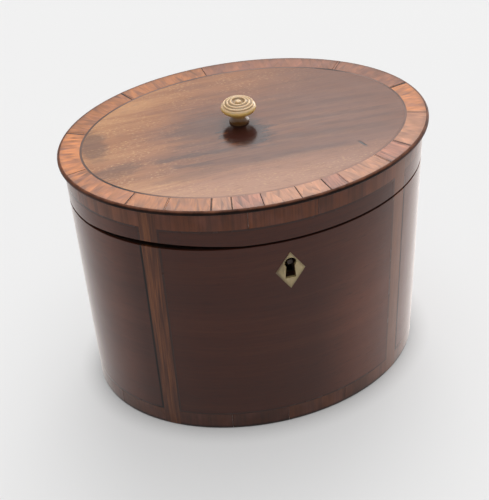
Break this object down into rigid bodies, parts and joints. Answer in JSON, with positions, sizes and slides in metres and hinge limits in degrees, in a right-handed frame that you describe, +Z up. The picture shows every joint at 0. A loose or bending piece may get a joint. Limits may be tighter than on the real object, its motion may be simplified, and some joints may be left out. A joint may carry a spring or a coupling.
{
  "type": "tea caddy",
  "caption": "Oval veneered tea caddy: crossbanded lid hinged at the back, turned bone knob, diamond keyhole plate, link lock, foil-lined compartment and loose inner lid.",
  "frame": {"origin": "on the table under the middle of the oval box", "axes": "+Z up, +X along the long axis of the oval, -Y towards the front with the keyhole"},
  "size_m": [0.1532, 0.1144, 0.1256],
  "materials": {
    "mahogany_veneer": "polished mahogany veneer",
    "crossbanding": "polished cross-grained banding",
    "upright_wood": "polished straight-grained banding",
    "stringing": "polished dark stringing",
    "edge_moulding": "polished dark moulding",
    "carcase_wood": "plain mahogany carcase",
    "inner_lid_wood": "waxed mahogany",
    "bone": "polished aged bone",
    "brass": "aged brass",
    "steel": "dull iron",
    "foil": "dull grey metal foil"
  },
  "bodies": {
    "case": {"base_board": "carcase_wood", "body_back_left_upright": "upright_wood", "body_back_panel": "mahogany_veneer", "body_back_right_upright": "upright_wood", "body_base_crossbanding": "crossbanding", "body_front_left_upright": "upright_wood", "body_front_panel": "mahogany_veneer", "body_front_right_upright": "upright_wood", "body_left_panel": "mahogany_veneer", "body_right_panel": "mahogany_veneer", "body_stringing": "stringing", "carcase_wall": "carcase_wood", "escutcheon": "bone", "foil_lining": "foil", "hinge_left_case_leaf": "brass", "hinge_left_pin": "brass", "hinge_right_case_leaf": "brass", "hinge_right_pin": "brass", "hinge_screws_case": "steel", "ledge_liner": "carcase_wood", "lock_case": "steel", "lock_key_pin": "steel", "lock_plate": "brass", "lock_screws": "steel", "lock_spring": "steel"},
    "lid": {"hinge_left_lid_leaf": "brass", "hinge_right_lid_leaf": "brass", "hinge_screws_lid": "steel", "lid_back_left_upright": "upright_wood", "lid_back_panel": "mahogany_veneer", "lid_back_right_upright": "upright_wood", "lid_board": "carcase_wood", "lid_edge_moulding": "edge_moulding", "lid_front_left_upright": "upright_wood", "lid_front_panel": "mahogany_veneer", "lid_front_right_upright": "upright_wood", "lid_knob": "bone", "lid_left_panel": "mahogany_veneer", "lid_right_panel": "mahogany_veneer", "lid_rim": "carcase_wood", "lid_side_crossbanding": "crossbanding", "lid_stringing": "stringing", "lid_top_crossbanding": "crossbanding", "lid_top_panel": "mahogany_veneer", "lid_top_stringing": "stringing", "link_plate": "brass", "link_plate_screws": "steel"},
    "inner_lid_body": {"inner_lid": "inner_lid_wood", "inner_lid_knob": "bone"},
    "lock_bolt_body": {"lock_bolt": "steel"}
  },
  "joints": [
    {"name": "lid_hinge", "type": "hinge", "parent": "case", "child": "lid", "pos_m": [0, 0.05575, 0.0978], "axis": [-1, 0, 0], "range_deg": [0, 95]},
    {"name": "inner_lid_lift", "type": "slide", "parent": "case", "child": "inner_lid_body", "axis": [0, 0, 1], "range_m": [0, 0.0255]},
    {"name": "lock_bolt_slide", "type": "slide", "parent": "case", "child": "lock_bolt_body", "axis": [1, 0, 0], "range_m": [0, 0.0035]}
  ]
}
